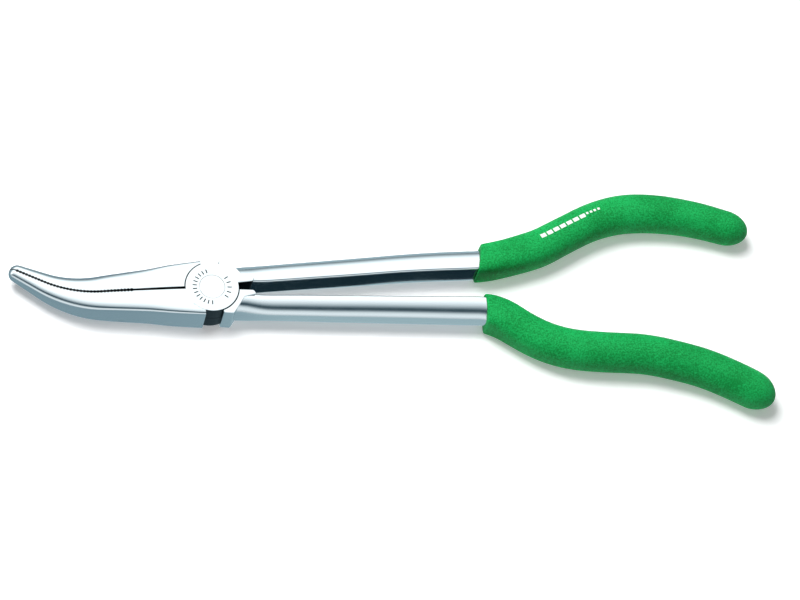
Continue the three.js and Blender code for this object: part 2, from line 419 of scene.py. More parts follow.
def plate(corners: Points, low: float, high: float, corner_round: float,
          edge_round: float) -> bmesh.types.BMesh:
    """A flat plate of any outline with its corners and its rims rounded.

    Args:
        corners: the outline in plan.
        low: underside.
        high: top.
        corner_round: size of the rounding on the upright edges.
        edge_round: size of the rounding on the two rims.

    Returns:
        The plate.
    """
    bm = bmesh.new()
    outline = bm.faces.new([bm.verts.new((x, y, low)) for x, y in corners])
    risen = bmesh.ops.extrude_face_region(bm, geom=[outline])["geom"]
    bmesh.ops.translate(bm, vec=(0, 0, high - low),
                        verts=[v for v in risen if isinstance(v, bmesh.types.BMVert)])
    corners_up = [e for e in bm.edges if climb(e) > UPRIGHT]
    round_edges(bm, corners_up, corner_round, CORNER_FACETS)
    rims = [e for e in bm.edges if climb(e) < SAME_POINT
            and any(abs(face.normal.z) > UPRIGHT for face in e.link_faces)]
    round_edges(bm, rims, edge_round, RIM_FACETS)
    bmesh.ops.recalc_face_normals(bm, faces=bm.faces)
    return bm


def turned(profile: Points, segments: int) -> bmesh.types.BMesh:
    """A solid turned about the pivot axis.

    Args:
        profile: radius and height points, from the axis at the bottom to the axis on top.
        segments: steps of the full turn.

    Returns:
        The closed solid.
    """
    bm = bmesh.new()
    verts = [bm.verts.new((radius, 0, height)) for radius, height in profile]
    edges = [bm.edges.new(pair) for pair in zip(verts, verts[1:])]
    bmesh.ops.spin(bm, geom=verts + edges, cent=(0, 0, 0), axis=(0, 0, 1),
                   angle=math.tau, steps=segments, use_merge=True)
    bmesh.ops.remove_doubles(bm, verts=bm.verts, dist=SAME_POINT)
    bmesh.ops.recalc_face_normals(bm, faces=bm.faces)
    return bm


def solid(name: str, bm: bmesh.types.BMesh) -> bpy.types.Object:
    """Turns a bmesh into an object in the scene.

    Args:
        name: the object's name.
        bm: the shape, which is freed.

    Returns:
        The object.
    """
    mesh = bpy.data.meshes.new(name)
    bm.to_mesh(mesh)
    bm.free()
    made = bpy.data.objects.new(name, mesh)
    bpy.context.scene.collection.objects.link(made)
    return made


def carve(piece: bpy.types.Object, shape: bmesh.types.BMesh, cut: Cut) -> None:
    """Joins a second solid to a piece or takes it away.

    Args:
        piece: the piece that changes.
        shape: the second solid, which is freed.
        cut: what to do with it.
    """
    tool = solid("tool", shape)
    change = piece.modifiers.new("carve", "BOOLEAN")
    change.operation, change.solver, change.object = cut.value, "EXACT", tool
    shaped = piece.evaluated_get(bpy.context.evaluated_depsgraph_get())
    mesh = bpy.data.meshes.new_from_object(shaped)
    piece.modifiers.clear()
    piece.data = mesh
    bpy.data.objects.remove(tool)


def finish_mesh(piece: bpy.types.Object, crease_degrees: float) -> None:
    """Brings a piece to metres and shades it smooth between its real edges.

    Args:
        piece: the piece, worked in millimetres.
        crease_degrees: an edge that turns more than this stays crisp.
    """
    bm = bmesh.new()
    bm.from_mesh(piece.data)
    bmesh.ops.remove_doubles(bm, verts=bm.verts, dist=SAME_POINT)
    bmesh.ops.dissolve_degenerate(bm, edges=bm.edges, dist=NO_LENGTH)
    bmesh.ops.scale(bm, vec=(MM, MM, MM), verts=bm.verts)
    for face in bm.faces:
        face.smooth = True
    for edge in bm.edges:
        edge.smooth = edge.calc_face_angle(math.pi) < math.radians(crease_degrees)
    bm.to_mesh(piece.data)
    bm.free()
    even = piece.modifiers.new("even shading", "WEIGHTED_NORMAL")
    even.keep_sharp = True


# ---- finishes -------------------------------------------------------------------------
def linear(colour: str) -> tuple[float, float, float, float]:
    """A colour for a shader from its sRGB hex value.

    Args:
        colour: such as "#1F9E50".

    Returns:
        Linear red, green, blue and an alpha of 1.
    """
    parts = [int(colour[i:i + 2], 16) / 255 for i in (1, 3, 5)]
    red, green, blue = (c / 12.92 if c <= 0.04045 else ((c + 0.055) / 1.055) ** 2.4
                        for c in parts)
    return red, green, blue, 1.0


def add_node(tree: bpy.types.NodeTree, kind: str, inputs: Inputs | None = None,
             **settings: object) -> bpy.types.Node:
    """Adds a node with its settings and its links.

    Args:
        tree: the node tree.
        kind: the node's type name.
        inputs: a value, or an output socket to link, for each input by name or number.
        settings: the node's own properties.

    Returns:
        The node.
    """
    node = tree.nodes.new(kind)
    for key, value in settings.items():
        setattr(node, key, value)
    for key, value in (inputs or {}).items():
        if isinstance(value, bpy.types.NodeSocket):
            tree.links.new(value, node.inputs[key])
        else:
            node.inputs[key].default_value = value
    return node


def set_ramp(ramp: bpy.types.ColorRamp, stops: Stops) -> None:
    """Gives a colour ramp its stops, each put in at its own place.

    Args:
        ramp: a new ramp, which has two stops.
        stops: position and hex colour, in rising order.
    """
    first, last = ramp.elements
    first.position, first.color = stops[0][0], linear(stops[0][1])
    last.position, last.color = stops[-1][0], linear(stops[-1][1])
    for position, colour in stops[1:-1]:
        ramp.elements.new(position).color = linear(colour)


def new_material(name: str) -> tuple[bpy.types.Material, bpy.types.NodeTree]:
    """An empty node material.

    Args:
        name: the finish's name.

    Returns:
        The material and its tree.
    """
    material = bpy.data.materials.new(name)
    material.use_nodes = True
    material.node_tree.nodes.clear()
    return material, material.node_tree


class Finish(ABC):
    """A surface whose patterns are laid out in the tool's own coordinates."""

    name: str

    @abstractmethod
    def shading(self, tree: bpy.types.NodeTree, place: bpy.types.NodeSocket) -> Inputs:
        """Adds the finish's patterns to its material.

        Args:
            tree: the material's node tree.
            place: the point's coordinates, in metres.

        Returns:
            What each input of the shader is given.
        """

    def material(self) -> bpy.types.Material:
        """Builds the material.

        Returns:
            The material.
        """
        made, tree = new_material(self.name)
        place = add_node(tree, "ShaderNodeTexCoord").outputs["Object"]
        shader = add_node(tree, "ShaderNodeBsdfPrincipled", self.shading(tree, place))
        add_node(tree, "ShaderNodeOutputMaterial", {"Surface": shader.outputs["BSDF"]})
        return made


@dataclass(frozen=True)
class PlatedSteel(Finish):
    """Forged steel, belt polished lengthwise and then nickel-chrome plated.

    The plating gives a bright, slightly cool mirror, and the belt lines under it drag
    each reflection out along the tool and leave a soft satin.
    """

    name: str = "nickel_chrome_plated_steel"
    colour: str = "#D2D9DC"
    smooth_roughness: float = 0.13
    dull_roughness: float = 0.21
    line_width: float = 0.45      # the real belt lines, 0.1 mm, are too fine to show
    line_length: float = 22.0
    line_depth: float = 0.003
    cloud_size: float = 9.0
    least_wear: float = 0.1       # the lines times the clouds, where it is smoothest
    most_wear: float = 0.45

    def shading(self, tree: bpy.types.NodeTree, place: bpy.types.NodeSocket) -> Inputs:
        """Adds the belt lines and the cloudy wear.

        Args:
            tree: the material's node tree.
            place: the point's coordinates, in metres.

        Returns:
            What each input of the shader is given.
        """
        across = PER_METRE / self.line_width
        stretched = add_node(tree, "ShaderNodeMapping", {
            "Vector": place, "Scale": (PER_METRE / self.line_length, across, across),
        })
        lines = add_node(tree, "ShaderNodeTexNoise", {
            "Vector": stretched.outputs["Vector"], "Scale": 1.0, "Detail": 3.0,
            "Roughness": 0.6,
        })
        clouds = add_node(tree, "ShaderNodeTexNoise", {
            "Vector": place, "Scale": PER_METRE / self.cloud_size, "Detail": 2.0,
        })
        wear = add_node(tree, "ShaderNodeMath", {
            0: lines.outputs["Fac"], 1: clouds.outputs["Fac"],
        }, operation="MULTIPLY")
        roughness = add_node(tree, "ShaderNodeMapRange", {
            "Value": wear.outputs[0],
            "From Min": self.least_wear, "From Max": self.most_wear,
            "To Min": self.smooth_roughness, "To Max": self.dull_roughness,
        })
        bump = add_node(tree, "ShaderNodeBump", {
            "Height": lines.outputs["Fac"], "Distance": self.line_depth * MM,
            "Strength": 1.0,
        })
        return {
            "Base Color": linear(self.colour), "Metallic": 1.0,
            "Roughness": roughness.outputs["Result"], "Normal": bump.outputs["Normal"],
        }


@dataclass(frozen=True)
class MachinedShadeSteel(Finish):
    """Machined joint and gripping faces, left unplated, their colour near black.

    The near black, slightly blue tones are painted shade, for the shade that falls in the
    joint's notch, in the slit between the jaws and by the stop pad.
    """

    name: str = "machined_steel_painted_shade"
    # painted shade: near black tones for the shade in the joint's notch, the slit and by the
    # pad
    tones: Stops = ((0.35, "#1B2529"), (0.7, "#2E3B40"))
    roughness: float = 0.42
    cutter_mark: float = 0.3

    def shading(self, tree: bpy.types.NodeTree, place: bpy.types.NodeSocket) -> Inputs:
        """Adds the cutter marks.

        Args:
            tree: the material's node tree.
            place: the point's coordinates, in metres.

        Returns:
            What each input of the shader is given.
        """
        marks = add_node(tree, "ShaderNodeTexNoise", {
            "Vector": place, "Scale": PER_METRE / self.cutter_mark, "Detail": 2.0,
        })
        colour = add_node(tree, "ShaderNodeValToRGB", {"Fac": marks.outputs["Fac"]})
        set_ramp(colour.color_ramp, self.tones)
        return {
            "Base Color": colour.outputs["Color"], "Metallic": 1.0,
            "Roughness": self.roughness,
        }


@dataclass(frozen=True)
class GroundRivetSteel(Finish):
    """Rivet steel, peened and then ground flush with the joint.

    The grinding leaves fine rings about the pivot, a shade duller than the plating.
    """

    name: str = "flush_ground_rivet_steel"
    colour: str = "#D6DADC"
    smooth_roughness: float = 0.18
    dull_roughness: float = 0.28
    ring_pitch: float = 0.35
    ring_depth: float = 0.004

    def shading(self, tree: bpy.types.NodeTree, place: bpy.types.NodeSocket) -> Inputs:
        """Adds the grinding rings.

        Args:
            tree: the material's node tree.
            place: the point's coordinates, in metres.

        Returns:
            What each input of the shader is given.
        """
        rings = add_node(tree, "ShaderNodeTexWave", {
            "Vector": place, "Scale": RING_SCALE * PER_METRE / self.ring_pitch,
            "Distortion": 1.2, "Detail": 2.0, "Detail Scale": 2.0,
        }, wave_type="RINGS", rings_direction="Z")
        roughness = add_node(tree, "ShaderNodeMapRange", {
            "Value": rings.outputs["Fac"],
            "To Min": self.smooth_roughness, "To Max": self.dull_roughness,
        })
        bump = add_node(tree, "ShaderNodeBump", {
            "Height": rings.outputs["Fac"], "Distance": self.ring_depth * MM,
            "Strength": 1.0,
        })
        return {
            "Base Color": linear(self.colour), "Metallic": 1.0,
            "Roughness": roughness.outputs["Result"], "Normal": bump.outputs["Normal"],
        }


@dataclass(frozen=True)
class DippedVinyl(Finish):
    """Soft PVC that the handle was dipped in, cured with a sand-fine matt surface.

    The grains each turn a little to or from the light, and the highlight is broad and never
    sharp. The small lighter and darker specks come partly from the bump and partly from
    light and shade painted into the green.
    """

    name: str = "dipped_matt_vinyl"
    # partly painted light: the grain specks in the colour stand for the grains' light and
    # shade
    tones: Stops = ((0.4, "#068339"), (0.6, "#19B55C"))
    roughness: float = 0.55
    specular: float = 0.12        # the matt skin scatters most of the gloss
    grain: float = 0.6            # the real grains, 0.3 mm, are too fine to show
    grain_height: float = 0.12
    patch: float = 14.0
    patch_share: float = 0.25     # how much of the tone the patches give, and not the grains

    def shading(self, tree: bpy.types.NodeTree, place: bpy.types.NodeSocket) -> Inputs:
        """Adds the grains and the broad patches.

        Args:
            tree: the material's node tree.
            place: the point's coordinates, in metres.

        Returns:
            What each input of the shader is given.
        """
        grains = add_node(tree, "ShaderNodeTexNoise", {
            "Vector": place, "Scale": PER_METRE / self.grain, "Detail": 3.0,
            "Roughness": 0.65,
        })
        patches = add_node(tree, "ShaderNodeTexNoise", {
            "Vector": place, "Scale": PER_METRE / self.patch, "Detail": 1.0,
        })
        tone = add_node(tree, "ShaderNodeMix", {
            0: self.patch_share, 2: grains.outputs["Fac"], 3: patches.outputs["Fac"],
        }, data_type="FLOAT")
        colour = add_node(tree, "ShaderNodeValToRGB", {"Fac": tone.outputs[0]})
        set_ramp(colour.color_ramp, self.tones)
        bump = add_node(tree, "ShaderNodeBump", {
            "Height": grains.outputs["Fac"], "Distance": self.grain_height * MM,
            "Strength": 1.0,
        })
        return {
            "Base Color": colour.outputs["Color"], "Roughness": self.roughness,
            "IOR": 1.48, "Specular IOR Level": self.specular,
            "Normal": bump.outputs["Normal"],
        }


@dataclass(frozen=True)
class PadPrint(Finish):
    """White ink pad printed on the vinyl: flat, opaque and thin at its worn specks."""

    name: str = "pad_printed_ink"
    tones: Stops = ((0.3, "#CFE6D8"), (0.45, "#F4F7F5"))
    speck: float = 0.5

    def shading(self, tree: bpy.types.NodeTree, place: bpy.types.NodeSocket) -> Inputs:
        """Adds the worn specks.

        Args:
            tree: the material's node tree.
            place: the point's coordinates, in metres.

        Returns:
            What each input of the shader is given.
        """
        specks = add_node(tree, "ShaderNodeTexNoise", {
            "Vector": place, "Scale": PER_METRE / self.speck, "Detail": 2.0,
        })
        colour = add_node(tree, "ShaderNodeValToRGB", {"Fac": specks.outputs["Fac"]})
        set_ramp(colour.color_ramp, self.tones)
        return {
            "Base Color": colour.outputs["Color"], "Roughness": 0.5, "IOR": 1.5,
        }


@dataclass(frozen=True)
class StudioPaper(Finish):
    """White paper on a light table: dead matt, a faint fibre, and lit from below.

    The light from below keeps the shadows pale and the tool's contact with them soft.
    """

    name: str = "studio_paper"
    colour: str = "#F6F7F8"
    glow: float = 0.32
    fibre: float = 0.8
    fibre_height: float = 0.01

    def shading(self, tree: bpy.types.NodeTree, place: bpy.types.NodeSocket) -> Inputs:
        """Adds the fibre.

        Args:
            tree: the material's node tree.
            place: the point's coordinates, in metres.

        Returns:
            What each input of the shader is given.
        """
        fibres = add_node(tree, "ShaderNodeTexNoise", {
            "Vector": place, "Scale": PER_METRE / self.fibre, "Detail": 2.0,
        })
        bump = add_node(tree, "ShaderNodeBump", {
            "Height": fibres.outputs["Fac"], "Distance": self.fibre_height * MM,
            "Strength": 0.5,
        })
        return {
            "Base Color": linear(self.colour), "Roughness": 1.0,
            "Specular IOR Level": 0.0, "Normal": bump.outputs["Normal"],
            "Emission Color": linear(self.colour), "Emission Strength": self.glow,
        }


# ---- the tool -------------------------------------------------------------------------
@dataclass(frozen=True)
class Joint:
    """The lap joint: two boss faces, the gap round them, and the rivet's seat."""

    thickness: float
    boss_radius: float = 9.65
    running_gap: float = 0.3
    lap_gap: float = 0.2
    rim_round: float = 0.22
    rim_middle: float = 0.3       # how far in a rounded rim's middle lies, of its size
    mouth_flare: float = 0.12
    rivet_radius: float = 3.5
    rivet_head_radius: float = 4.6
    rivet_head_depth: float = 1.3
    rivet_edge: tuple[float, float] = (0.06, 0.05)    # its small chamfer, across and down
    rivet_clearance: float = 0.08
    segments: int = 144

    @property
    def middle(self) -> float:
        """Height of the lap faces."""
        return self.thickness / 2

    @property
    def flat_radius(self) -> float:
        """How far out a boss face is sure to be flat."""
        return self.boss_radius - 1.5 * self.rim_round

    def boss(self) -> bmesh.types.BMesh:
        """The round boss, full height, its two rims rounded.

        Returns:
            The turned boss.
        """
        rim, radius, inset = self.rim_round, self.boss_radius, self.rim_round * self.rim_middle
        lower = ((0, 0), (radius - rim, 0), (radius - inset, inset), (radius, rim))
        upper = tuple((r, self.thickness - z) for r, z in reversed(lower))
        return turned(lower + upper, self.segments)

    def relief(self, layer: Layer) -> bmesh.types.BMesh:
        """The space that a half gives up to the other half's boss.

        Args:
            layer: the layer that the half keeps.

        Returns:
            A cutter whose outer mouth is flared, to leave a small chamfer.
        """
        radius, flare = self.boss_radius + self.running_gap, self.mouth_flare
        inner = self.middle + self.lap_gap / 2
        profile = ((0.0, -OVERCUT), (radius + flare + OVERCUT, -OVERCUT), (radius, flare),
                   (radius, inner), (0.0, inner))
        if layer is Layer.LOWER:
            profile = tuple((r, self.thickness - z) for r, z in profile)
        return turned(profile, self.segments)

    def pin(self, *foot: tuple[float, float]) -> bmesh.types.BMesh:
        """A pin that is the same at both faces.

        Args:
            foot: radius and height points of its lower end, from the axis to the shaft.

        Returns:
            The turned pin.
        """
        head = tuple((r, self.thickness - z) for r, z in reversed(foot))
        return turned(foot + head, self.segments)

    def rivet(self) -> bmesh.types.BMesh:
        """The rivet, countersunk at both ends."""
        head, (across, down) = self.rivet_head_radius, self.rivet_edge
        return self.pin((0, 0), (head - across, 0), (head, down),
                        (self.rivet_radius, self.rivet_head_depth))

    def rivet_hole(self) -> bmesh.types.BMesh:
        """The cutter for the rivet's hole."""
        head = self.rivet_head_radius + self.rivet_clearance
        return self.pin((0, -OVERCUT), (head, -OVERCUT), (head, 0),
                        (self.rivet_radius + self.rivet_clearance, self.rivet_head_depth))


@dataclass(frozen=True)
class StampedRing:
    """A ring of plain ticks struck into the top of the boss, like a dial's."""

    radius: float = 6.3
    tick_length: float = 1.7
    tick_width: float = 0.55
    depth: float = 0.2
    foot: tuple[float, float] = (0.86, 0.45)     # how much a tick narrows as it goes down
    # each row's first and last tick, in degrees about the pivot from +X, and its count
    rows: tuple[tuple[float, float, int], ...] = ((104.0, 266.0, 13), (-40.0, 32.0, 5))

    def angles(self) -> list[float]:
        """Where the ticks stand, in degrees about the pivot from +X."""
        return [first + (last - first) * tick / (count - 1)
                for first, last, count in self.rows for tick in range(count)]

    def punch(self, top: float) -> bmesh.types.BMesh:
        """The punch that strikes every tick.

        Args:
            top: height of the face that is struck.

        Returns:
            One wedge for each tick, sticking out above the face.
        """
        bm = bmesh.new()
        for angle in self.angles():
            wedge = bmesh.ops.create_cube(bm, size=1.0)["verts"]
            bmesh.ops.scale(bm, verts=wedge,
                            vec=(self.tick_length, self.tick_width, 2 * self.depth))
            bmesh.ops.scale(bm, verts=[v for v in wedge if v.co.z < 0], vec=(*self.foot, 1))
            bmesh.ops.translate(bm, verts=wedge, vec=(self.radius, 0, top))
            bmesh.ops.rotate(bm, verts=wedge, cent=(0, 0, 0),
                             matrix=Matrix.Rotation(math.radians(angle), 3, "Z"))
        return bm


@dataclass(frozen=True)
class Jaw:
    """One long tapering jaw: flat toward the slit, squared and then rounded outside."""

    path: NosePath = field(default_factory=NosePath)
    shoulder: float = 3.2         # back of the jaw, before the boss axis
    tip_rounding: float = 2.4
    edge: float = 0.12
    teeth_from: float = 28.0      # distance from the pivot where the teeth start
    tooth_pitch: float = 1.2
    tooth_depth: float = 0.4
    tooth_reach: float = 0.8      # how far into the jaw a groove fades out
    sides: int = 60
    tip_stations: int = 10
    tip_turn: float = 86.0        # degrees; short of 90, so that the end keeps a width
    far_crown: float = 3.0        # the far jaw's top is ground rounder, this many times
    crown_power: int = 3          # how late the top falls away, going out
    # distance from the pivot, width, half height, squareness, half slit, crown: how far
    # the top has fallen at the outer side
    sections: Rows = (
        (3.2, 10.4, 6.385, 14.0, 0.46, 0.0), (14.0, 9.45, 6.38, 11.0, 0.44, 0.07),
        (24.0, 8.2, 6.15, 10.0, 0.38, 0.3), (34.0, 7.4, 5.85, 10.0, 0.27, 0.45),
        (44.0, 6.5, 5.2, 7.0, 0.21, 0.5), (54.0, 5.3, 4.35, 4.4, 0.18, 0.42),
        (64.0, 3.9, 3.3, 3.2, 0.17, 0.25), (74.05, 2.5, 2.3, 2.6, 0.17, 0.1),
    )

    @property
    def slit_reach(self) -> float:
        """How far from the slit's middle a gripping face may lie."""
        widest = max(half_slit for *_, half_slit, _ in self.sections)
        return widest + self.tooth_depth + self.edge

    def shape(self, side: Side, middle: float) -> bmesh.types.BMesh:
        """Sweeps the jaw from its shoulder to its tip.

        Args:
            side: the side of the slit it lies on.
            middle: height of its centre.

        Returns:
            The closed jaw.
        """
        table = section_table(self.sections)
        rounder = self.far_crown if side is Side.FAR else 1.0
        body = self.path.length - self.tip_rounding - self.shoulder
        body_stations = round(body / (self.tooth_pitch / 2))

        def place(part: float, from_middle: float, station: int) -> Vector:
            """Gives sweep a point of the jaw."""
            past = max(0, station - body_stations) / self.tip_stations
            turn = past * math.radians(self.tip_turn)
            distance = (self.shoulder + body * min(1.0, station / body_stations)
                        + self.tip_rounding * math.sin(turn))
            width, half, power, slit, crown = table.sizes(distance)
            closing = math.cos(turn)
            out, up = d_outline(part, width * closing, half * closing, power,
                                self.edge * closing)
            up *= 1 - rounder * crown / half * (out / (width * closing)) ** self.crown_power
            out = from_middle * out + (1 - from_middle) * width * closing / 2
            if station % 2 and not past and distance > self.teeth_from:
                out += self.tooth_depth * max(0.0, 1 - out / self.tooth_reach)
            point, ahead = self.path.locate(distance)
            across = Vector((ahead.y, -ahead.x)) * side.value
            spot = point + across * (slit + out)
            return Vector((spot.x, spot.y, middle + from_middle * up))

        return sweep(self.sides, body_stations + self.tip_stations, place)


@dataclass(frozen=True)
class Handle:
    """A long D section bar, flat toward the other handle, that runs on into the grip."""

    points: Points
    sections: Rows                # distance along the line, width, half height
    power: float = 2.4
    edge: float = 0.75
    sides: int = 60
    station_pitch: float = 2.0
    tang_stop: float = 11.0       # how far the bar ends short of the line's end

    def shape(self, side: Side, middle: float, start: float = 0.0, extra: float = 0.0,
              longer: float = 0.0) -> bmesh.types.BMesh:
        """Sweeps the bar.

        Args:
            side: the side of the tool it lies on.
            middle: height of its centre.
            start: distance along the line where it starts.
            extra: added all round, to cut the sleeve of a grip.
            longer: added to its end.

        Returns:
            The closed bar.
        """
        line, table = centre_line(self.points), section_table(self.sections)
        length = line.length - (self.tang_stop - longer) - start
        stations = round(length / self.station_pitch)

        def place(part: float, from_middle: float, station: int) -> Vector:
            """Gives sweep a point of the bar."""
            distance = start + length * station / stations
            width, half = table.sizes(distance)
            width, half = width + 2 * extra, half + extra
            out, up = d_outline(part, width, half, self.power, self.edge)
            sideways = side.value * (out - width / 2) * from_middle
            return line.beside(distance, sideways, middle + from_middle * up)

        return sweep(self.sides, stations, place)


@dataclass(frozen=True)
class HeadBlock:
    """The flat block between a boss and its handle, with its stop pad."""

    sink: float = 0.01            # below the boss face, so the two never share a plane
    corner_round: float = 0.5
    edge_round: float = 0.3
    pad_margin: tuple[float, float] = (0.2, 0.3)      # machined this far past the pad
    corners: Points = ((3.3, 1.25), (8.2, 1.25), (15.0, 1.75), (15.9, 3.4), (11.5, 4.3),
                       (6.9, 10.8), (3.3, 10.4))

    @property
    def machined_to(self) -> tuple[float, float]:
        """How far the machined stop pad reaches in X, and in Y to either side."""
        (x, y), (along, across) = self.corners[2], self.pad_margin
        return x + along, y + across

    def shape(self, side: Side, thickness: float) -> bmesh.types.BMesh:
        """Builds the block.

        Args:
            side: the side of the tool it lies on.
            thickness: of the head.

        Returns:
            The closed block.
        """
        corners = tuple((x, y * side.value) for x, y in self.corners)
        return plate(corners, self.sink, thickness - self.sink, self.corner_round,
                     self.edge_round)


@dataclass(frozen=True)
class PliersHalf:
    """One forging: a jaw, its half of the lap joint, a head block and a handle bar."""

    name: str
    body: str
    stands_for: str
    jaw_side: Side
    layer: Layer
    handle: Handle
    joint: Joint
    jaw: Jaw = field(default_factory=Jaw)
    block: HeadBlock = field(default_factory=HeadBlock)
    stamp: StampedRing | None = None
    skin: float = 0.01            # a face this near the top or the underside is plated
    slack: float = 0.05           # how far past the running gap its wall may lie

    def build(self) -> bpy.types.Object:
        """Joins the forging together and cuts its joint.

        Returns:
            The piece, at rest in the frame.
        """
        joint, handle_side = self.joint, self.jaw_side.other
        piece = solid(self.name, joint.boss())
        for shape in (self.jaw.shape(self.jaw_side, joint.middle),
                      self.block.shape(handle_side, joint.thickness),
                      self.handle.shape(handle_side, joint.middle)):
            carve(piece, shape, Cut.JOIN)
        for cutter in (joint.relief(self.layer), joint.rivet_hole()):
            carve(piece, cutter, Cut.TAKE)
        if self.stamp:
            carve(piece, self.stamp.punch(joint.thickness), Cut.TAKE)
        finish_mesh(piece, STEEL_CREASE)
        return piece

    def is_shaded_machined_face(self, middle: Vector, normal: Vector) -> bool:
        """Whether a face was machined after forging, left unplated and given the painted
        shade.

        Args:
            middle: the middle of the face, in millimetres.
            normal: its direction.

        Returns:
            True on the gripping face, the stop pad, the joint's walls and the stamp.
        """
        joint, upright = self.joint, abs(normal.z) < UPRIGHT
        from_axis = middle.xy.length
        if from_axis < joint.flat_radius:
            return self.skin < middle.z < joint.thickness - self.skin
        if upright and from_axis < joint.boss_radius + joint.running_gap + self.slack:
            return True
        if middle.x < 0:
            return upright and self.jaw.path.aside(middle) < self.jaw.slit_reach
        along, across = self.block.machined_to
        return upright and middle.x < along and abs(middle.y) < across

    def dress(self, piece: bpy.types.Object, steel: bpy.types.Material,
              machined: bpy.types.Material) -> None:
        """Gives the forging its two finishes and its place in the frame.

        Args:
            piece: what build made.
            steel: the plated finish.
            machined: the finish of the unplated faces, whose near black colour is painted
                shade.
        """
        piece.data.materials.clear()
        piece.data.materials.append(steel)
        piece.data.materials.append(machined)
        for face in piece.data.polygons:
            # the machined faces take the near black painted shade
            face.material_index = int(self.is_shaded_machined_face(face.center / MM, face.normal))
        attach(piece, self.body)
        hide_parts(self.stands_for)


@dataclass(frozen=True)
class PivotRivet:
    """The rivet through the joint, ground flush on both faces."""

    joint: Joint
    name: str = "flush_pivot_rivet"

    def build(self) -> bpy.types.Object:
        """Turns the rivet.

        Returns:
            The piece, at rest in the frame.
        """
        piece = solid(self.name, self.joint.rivet())
        finish_mesh(piece, STEEL_CREASE)
        return piece

    def dress(self, piece: bpy.types.Object, steel: bpy.types.Material) -> None:
        """Gives the rivet its finish and its place in the frame.

        Args:
            piece: what build made.
            steel: the ground finish.
        """
        piece.data.materials.append(steel)
        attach(piece, "back_lever")
        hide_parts("pivot_rivet")


@dataclass(frozen=True)
class Grip:
    """A dipped grip that swells along the end of a handle and closes in a round dome."""

    name: str
    body: str
    stands_for: str
    side: Side
    handle: Handle
    middle: float
    mouth_x: float
    sections: Rows                # distance from the mouth, half width and height, squareness
    slant: float = 0.0            # how far the mouth leans along the bar across its width
    slant_from: float = 0.6       # half widths from the middle to the point that stays put
    slant_fade: float = 16.0      # how far along the grip the lean has gone
    dome: float = 9.0
    dome_turn: float = 88.0       # degrees; short of 90, so that the end keeps a width
    lip: float = 0.7
    sleeve_fit: float = 0.3
    sleeve_lead: float = 6.0      # how far before the mouth the sleeve's cutter starts
    sleeve_stop: float = 1.2
    sides: int = 64
    body_stations: int = 110
    lip_stations: int = 6
    dome_stations: int = 14

    @property
    def mouth(self) -> float:
        """Where the mouth is along the handle's line."""
        return centre_line(self.handle.points).reaches(self.mouth_x)

    def surface(self, part: float, along: float, turn: float = 0.0,
                lift: float = 0.0) -> Vector:
        """A point of the outside of the grip.

        Args:
            part: how far round, from 0 at the left side over the top.
            along: distance from the mouth.
            turn: how far the dome has turned in, in radians.
            lift: how far the point stands off the surface.

        Returns:
            The point.
        """
        line = centre_line(self.handle.points)
        width, half, power = section_table(self.sections).sizes(along)
        round_in = self.lip - math.sqrt(max(0.0, self.lip ** 2
                                            - max(0.0, self.lip - along) ** 2))
        closing = math.cos(turn)
        angle = part * math.tau
        sideways = squared(math.cos(angle), power) * (width - round_in + lift) * closing
        up = squared(math.sin(angle), power) * (half - round_in + lift) * closing
        slip = (self.slant * (sideways + width * self.slant_from)
                * max(0.0, 1 - along / self.slant_fade))
        return line.beside(self.mouth + along + slip, sideways, self.middle + up)

    def build(self) -> bpy.types.Object:
        """Sweeps the outside and cuts the sleeve that the bar sits in.

        Returns:
            The piece, at rest in the frame.
        """
        length = centre_line(self.handle.points).length - self.mouth
        straight = length - self.dome - self.lip
        first_dome = self.lip_stations + self.body_stations

        def place(part: float, from_middle: float, station: int) -> Vector:
            """Gives sweep a point of the grip's outside."""
            in_lip = min(1.0, station / self.lip_stations)
            in_body = min(1.0, max(0, station - self.lip_stations) / self.body_stations)
            in_dome = max(0, station - first_dome) / self.dome_stations
            turn = in_dome * math.radians(self.dome_turn)
            along = (self.lip * (1 - math.cos(in_lip * math.pi / 2)) + straight * in_body
                     + self.dome * math.sin(turn))
            rim = self.surface(part, along, turn)
            if from_middle:
                return rim
            return (rim + self.surface(part + 0.5, along, turn)) / 2

        piece = solid(self.name, sweep(self.sides, first_dome + self.dome_stations, place))
        carve(piece, self.handle.shape(self.side, self.middle, self.mouth - self.sleeve_lead,
                                       self.sleeve_fit, self.sleeve_stop), Cut.TAKE)
        finish_mesh(piece, VINYL_CREASE)
        return piece

    def dress(self, piece: bpy.types.Object, vinyl: bpy.types.Material) -> None:
        """Gives the grip its vinyl and its place in the frame.

        Args:
            piece: what build made.
            vinyl: the dipped finish.
        """
        piece.data.materials.clear()
        piece.data.materials.append(vinyl)
        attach(piece, self.body)
        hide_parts(self.stands_for)


